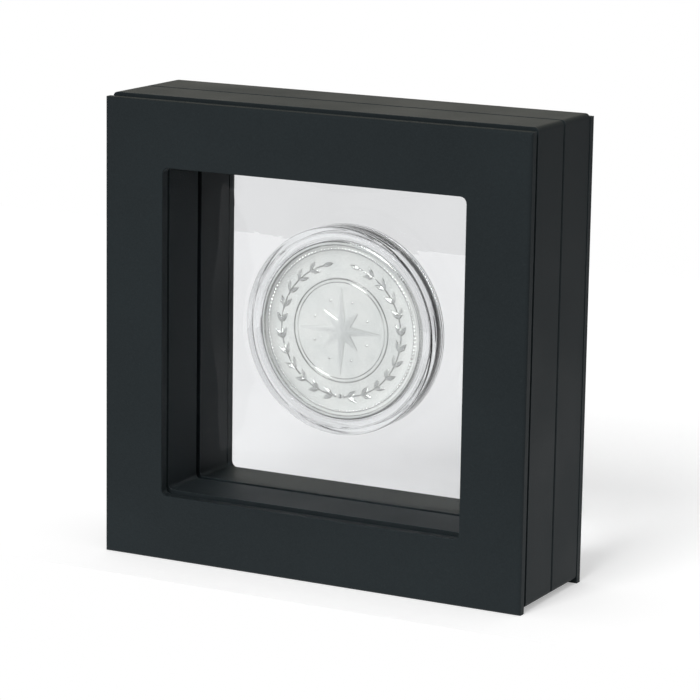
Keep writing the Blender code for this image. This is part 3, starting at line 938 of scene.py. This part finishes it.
def wreath(look, sunk):
    """Two laurel branches that rise from the foot of the coin and open at the top."""
    relief = Shape()
    height = look.relief
    blade = leaf(look.leaf, look.leaf * 0.36, height, sunk)
    berry = dome(0.27 * MM, height * RISE["berry"], sunk)
    stem_width = 0.32 * MM
    lowest = -math.pi / 2
    gap, sweep = math.radians(5), math.radians(159)
    lean = 0.52
    margin = 0.15
    berry_ahead, berry_out = 0.055, 0.95 * MM
    for sign in (-1, 1):
        start = lowest + sign * gap
        end = start + sign * sweep
        ahead = sign * math.pi / 2
        stem = raised_arc(look.wreath, start, end, stem_width, height * RISE["line"], sunk)
        relief.join(stem)
        for pair in range(look.leaf_pairs + 1):
            angle = start + (end - start) * (pair + margin) / (look.leaf_pairs + 2 * margin)
            tip = pair == look.leaf_pairs
            for tilt in (0.0,) if tip else (-lean, lean):
                relief.put(blade, angle, look.wreath, ahead + tilt)
            if pair % 2 and not tip:
                relief.put(berry, angle + sign * berry_ahead, look.wreath + berry_out)
    for offset, radius in ((-1.05, 0.36), (0.0, 0.5), (1.05, 0.36)):
        knot = dome(radius * MM, height, sunk, steps=14)
        relief.put(knot, lowest + offset * MM / look.wreath, look.wreath)
    return relief


def plain_rings(relief, rings, height, sunk):
    """Adds low rings, each given by its radius and width."""
    for radius, width in rings:
        relief.join(raised_arc(radius, 0.0, FULL_TURN, width, height * RISE["line"], sunk))


def front_relief(look, sunk):
    """The front design: a star in a ring, inside the wreath."""
    relief = wreath(look, sunk)
    height = look.relief
    rings = ((look.star_ring, 0.34 * MM), (look.star_ring - 0.75 * MM, 0.16 * MM))
    plain_rings(relief, rings, height, sunk)
    relief.put(compass_star(look.star, height * RISE["star"], sunk), math.pi / 2)
    relief.join(dome(1.3 * MM, height * RISE["boss"], sunk, steps=40, rows=6))
    stud = dome(0.26 * MM, height * RISE["stud"], sunk)
    relief.ring(stud, 8, look.star * 0.72, first=0.5)
    return relief


def rear_relief(look, sunk):
    """The back design: a rosette of petals between plain rings."""
    relief = Shape()
    height = look.relief
    reach, width = look.star * 0.88, look.star * 0.36
    petal = leaf(reach, width, height * RISE["petal"], sunk, vein=0.25)
    relief.ring(petal, look.petals, 2.2 * MM)
    rings = ((look.wreath + 1.6 * MM, 0.2 * MM), (look.star_ring + 0.6 * MM, 0.36 * MM))
    plain_rings(relief, rings, height, sunk)
    stud = dome(0.55 * MM, height, sunk, steps=14, rows=4)
    relief.ring(stud, look.petals * 2, look.wreath - 0.4 * MM, first=0.5)
    relief.join(dome(1.9 * MM, height * RISE["hub"], sunk, steps=40, rows=6))
    return relief


def blank_profile(look):
    """The (radius, depth, reed share) points of the coin, front to back."""
    low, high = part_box("coin")
    radius = high.x
    face = low.y
    field = face + look.field
    inner = radius - look.reed_depth - look.rim
    front = [
        (0.0, field + look.dish),
        (inner * 0.45, field + look.dish * 0.8),
        (inner * 0.80, field + look.dish * 0.36),
        (inner - 0.14 * MM, field),
        (inner, field - 0.05 * MM),
        (inner + 0.09 * MM, face + 0.03 * MM),
        (inner + 0.16 * MM, face),
        (radius - look.reed_depth - 0.16 * MM, face),
        (radius - look.reed_depth - 0.04 * MM, face + 0.06 * MM),
        (radius, face + 0.20 * MM, 1.0),
    ]
    back = [(spot[0], low.y + high.y - spot[1], *spot[2:]) for spot in reversed(front)]
    return front + back


def coin_shape(look):
    """The coin: a reeded blank with beads and raised designs on both faces."""
    low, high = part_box("coin")
    height = height_of("coin")
    middle = (high.y + low.y) / 2
    field = (high.y - low.y) / 2 - look.field
    groove = [look.reed_depth * part for part in (0.0, 0.35, 1.0, 0.35)]
    steps = look.reeds * len(groove)
    shape = turned(blank_profile(look), height, steps, lambda step: groove[step % len(groove)])
    # The feet of the designs reach below the dished field.
    sunk = look.dish + 0.05 * MM
    bead = dome(look.bead_radius, look.relief * RISE["bead"], sunk)
    for side, design in ((FRONT, front_relief), (REAR, rear_relief)):
        relief = design(look, sunk)
        relief.ring(bead, look.beads, look.bead_ring)

        def on_face(point, side=side):
            """Where a point of the flat design lies on the dished face."""
            part = min(1.0, math.hypot(point.x, point.y) / look.bead_ring)
            depth = field - look.dish * (1 - part**2) + point.z
            return (-side * point.x, middle + side * depth, height + point.y)

        shape.join(relief, on_face)
    return shape


def floor_lift(board, look):
    """What the floor adds for rays that show the background: camera, glossy and clear ones."""
    path = board.node("ShaderNodeLightPath").outputs
    direct = board.maths("MAXIMUM", path["Is Camera Ray"], path["Is Glossy Ray"])
    plain = board.maths("MULTIPLY", direct, look.floor_glow)
    depth = board.node("ShaderNodeSeparateXYZ", {0: board.place()}).outputs["Y"]
    window = board.remap(depth, 0.0, look.floor_back, look.window_glow, look.window_fade)
    clear = board.maths("MULTIPLY", path["Is Transmission Ray"], window)
    unlit = board.unbounced(path["Diffuse Depth"])
    return board.maths("MULTIPLY", board.maths("MAXIMUM", plain, clear), unlit)


def pale_floor(look):
    """A wide floor that reads as white and still takes the frame's shadow."""
    left, right = -look.floor_left, look.floor_right
    front, back = -look.floor_front, look.floor_back
    corners = ((left, front, 0), (right, front, 0), (right, back, 0), (left, back, 0))
    floor = Shape(corners, [(0, 1, 2, 3)]).object("floor")
    board = material_board("pale_floor")
    diffuse = board.node("ShaderNodeBsdfDiffuse", {"Color": rgba(look.floor)}).outputs["BSDF"]
    glow = {"Color": rgba(WHITE), "Strength": floor_lift(board, look)}
    light = board.node("ShaderNodeEmission", glow).outputs["Emission"]
    both = board.node("ShaderNodeAddShader", {0: diffuse, 1: light}).outputs["Shader"]
    floor.data.materials.append(board.finish(both))


def card_heading(look):
    """Where the left card stands, beside the heading that the coin mirrors to the camera."""
    low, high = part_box("coin")
    sight = Vector(look.camera) - (low + high) / 2
    mirrored = Vector((-sight.x, sight.y, -sight.z)).normalized()
    rise = math.tan(math.asin(mirrored.z) + look.card_rise)
    raised = Vector((mirrored.x, mirrored.y, rise)).normalized()
    return tuple(Matrix.Rotation(-look.card_turn, 3, "Z") @ raised)


def studio_world(look):
    """A white screen behind the frame, two cards that light the coin, and a dimmer room."""
    world = bpy.data.worlds.new("studio")
    bpy.context.scene.world = world
    board = ShaderBoard(world)
    heading = board.node("ShaderNodeTexCoord").outputs["Generated"]
    height = board.node("ShaderNodeSeparateXYZ", {0: heading}).outputs["Z"]
    path = board.node("ShaderNodeLightPath").outputs
    unlit = board.unbounced(path["Diffuse Depth"])
    lit = board.maths("SUBTRACT", 1.0, unlit)
    gloss = board.maths("SUBTRACT", path["Is Glossy Ray"], path["Is Transmission Ray"])

    x, y, z = card_heading(look)
    card = board.maths("MAXIMUM", board.dot(heading, (x, y, z)), board.dot(heading, (-x, y, z)))
    glow = board.remap(card, *CARD_GLOW, look.card * CARD_RIM, look.card)
    card = board.maths("MULTIPLY", glow, board.remap(card, *CARD_EDGE))
    room = board.remap(height, *HORIZON, look.beneath, look.surroundings)

    toward = board.dot(heading, (-math.sin(look.yaw), math.cos(look.yaw), 0.0))
    mirrored = board.maths("MULTIPLY", gloss, board.remap(toward, *SCREEN_EDGE))
    straight = board.unbounced(path["Glossy Depth"])
    ahead = board.maths("MAXIMUM", straight, board.remap(toward, *SCREEN_SIDES))
    screen = board.remap(height, *SCREEN_FOOT, look.backdrop_foot, look.backdrop)
    through = board.maths("MULTIPLY", path["Is Transmission Ray"], screen, ahead)

    seen = board.maths("MAXIMUM", path["Is Camera Ray"], mirrored, through, room, card)
    soft = board.maths("MULTIPLY", lit, look.ambient)
    strength = board.maths("ADD", board.maths("MULTIPLY", seen, unlit), soft)
    warm = board.maths("MULTIPLY", board.remap(height, *WARM_SKY), gloss, unlit)
    glare = {"Color": board.blend(warm, WHITE, look.warmth), "Strength": strength}
    light = board.node("ShaderNodeBackground", glare).outputs["Background"]
    board.node("ShaderNodeOutputWorld", {"Surface": light})


def soft_lamp(name, heading, strength, spread):
    """A wide, even lamp far away."""
    data = bpy.data.lights.new(name, "SUN")
    data.angle = spread
    data.energy = strength
    lamp = bpy.data.objects.new(name, data)
    lamp.rotation_euler = Vector(heading).to_track_quat("Z", "Y").to_euler()
    bpy.context.scene.collection.objects.link(lamp)
    lamp.visible_glossy = False


def studio_camera(look):
    """A camera at the photograph's angle."""
    turn = Matrix.Rotation(look.yaw, 3, "Z") @ Matrix.Rotation(math.pi / 2 - look.pitch, 3, "X")
    turn = turn @ Matrix.Rotation(look.roll, 3, "Z")
    data = bpy.data.cameras.new("studio_camera")
    data.lens = look.lens
    data.clip_start = 0.01
    camera = bpy.data.objects.new("studio_camera", data)
    camera.matrix_world = Matrix.Translation(look.camera) @ turn.to_4x4()
    bpy.context.scene.collection.objects.link(camera)
    bpy.context.scene.camera = camera


class COINFRAME_OT_finish_plastic(bpy.types.Operator):
    """Give the plates, shells and clamp rings their matt moulded finish"""

    bl_idname = "coin_frame.finish_plastic"
    bl_label = "Finish Plastic"

    def execute(self, context):
        dress(PLASTIC_NODES, soft_touch_plastic(context.scene.coin_frame.plastic))
        return {"FINISHED"}


class COINFRAME_OT_polish_pins(bpy.types.Operator):
    """Give the hinge pins the finish of drawn steel wire"""

    bl_idname = "coin_frame.polish_pins"
    bl_label = "Polish Hinge Pins"

    def execute(self, context):
        dress(PIN_NODES, drawn_wire())
        return {"FINISHED"}


class COINFRAME_OT_stretch_films(bpy.types.Operator):
    """Stretch a clear film across each half, over the capsule"""

    bl_idname = "coin_frame.stretch_films"
    bl_label = "Stretch Films"

    def execute(self, context):
        look = context.scene.coin_frame.film
        material = stretched_film(look)
        for side, name in HALF_NAMES.items():
            node = f"{name}_membrane"
            sheet = film(side, look)
            stand_for(sheet, node, material)
            if side == FRONT:
                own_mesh(sheet)
        return {"FINISHED"}


class COINFRAME_OT_turn_capsule(bpy.types.Operator):
    """Turn the capsule's cup and lid from clear acrylic"""

    bl_idname = "coin_frame.turn_capsule"
    bl_label = "Turn Capsule"

    def execute(self, context):
        look = context.scene.coin_frame.capsule
        material = clear_acrylic(look)
        height = height_of("capsule_base")
        for node, profile in capsule_profiles(look).items():
            piece = turned(softened(profile), height, look.steps).object(f"clear_{node}")
            stand_for(piece, node, material)
        return {"FINISHED"}


class COINFRAME_OT_strike_coin(bpy.types.Operator):
    """Strike the silver coin with its reeded edge and raised designs"""

    bl_idname = "coin_frame.strike_coin"
    bl_label = "Strike Coin"

    def execute(self, context):
        look = context.scene.coin_frame.coin
        piece = coin_shape(look).object("struck_coin")
        stand_for(piece, "coin", struck_silver(look))
        return {"FINISHED"}


class COINFRAME_OT_set_stage(bpy.types.Operator):
    """Set the floor, the world, the soft lamp and the camera"""

    bl_idname = "coin_frame.set_stage"
    bl_label = "Set Stage"

    def execute(self, context):
        look = context.scene.coin_frame.stage
        pale_floor(look)
        studio_world(look)
        soft_lamp("key", KEY_HEADING, look.key, look.key_spread)
        studio_camera(look)
        context.scene.view_settings.view_transform = "Standard"
        return {"FINISHED"}


OPERATORS = (
    COINFRAME_OT_finish_plastic,
    COINFRAME_OT_polish_pins,
    COINFRAME_OT_stretch_films,
    COINFRAME_OT_turn_capsule,
    COINFRAME_OT_strike_coin,
    COINFRAME_OT_set_stage,
)


class COINFRAME_PT_pieces(bpy.types.Panel):
    """Lists the frame's pieces and what can be changed about them"""

    bl_idname = "COINFRAME_PT_pieces"
    bl_label = "Floating Coin Frame"
    bl_space_type = "VIEW_3D"
    bl_region_type = "UI"
    bl_category = "Coin Frame"

    def draw(self, context):
        column = self.layout.column(align=True)
        for operator in OPERATORS:
            column.operator(operator.bl_idname)
        looks = context.scene.coin_frame
        for group in ("plastic", "film", "capsule", "coin", "stage"):
            box = self.layout.box()
            box.label(text=group.title())
            look = getattr(looks, group)
            for name in look.bl_rna.properties.keys():
                if name not in ("rna_type", "name"):
                    box.prop(look, name)


CLASSES = (
    PlasticLook,
    FilmLook,
    CapsuleLook,
    CoinLook,
    StageLook,
    CoinFrameLook,
    *OPERATORS,
    COINFRAME_PT_pieces,
)


def register():
    for member in CLASSES:
        bpy.utils.register_class(member)
    bpy.types.Scene.coin_frame = PointerProperty(type=CoinFrameLook)


def unregister():
    del bpy.types.Scene.coin_frame
    for member in reversed(CLASSES):
        bpy.utils.unregister_class(member)


def main():
    register()
    bpy.ops.coin_frame.finish_plastic()
    bpy.ops.coin_frame.polish_pins()
    bpy.ops.coin_frame.stretch_films()
    bpy.ops.coin_frame.turn_capsule()
    bpy.ops.coin_frame.strike_coin()
    bpy.ops.coin_frame.set_stage()


if __name__ == "__main__":
    main()
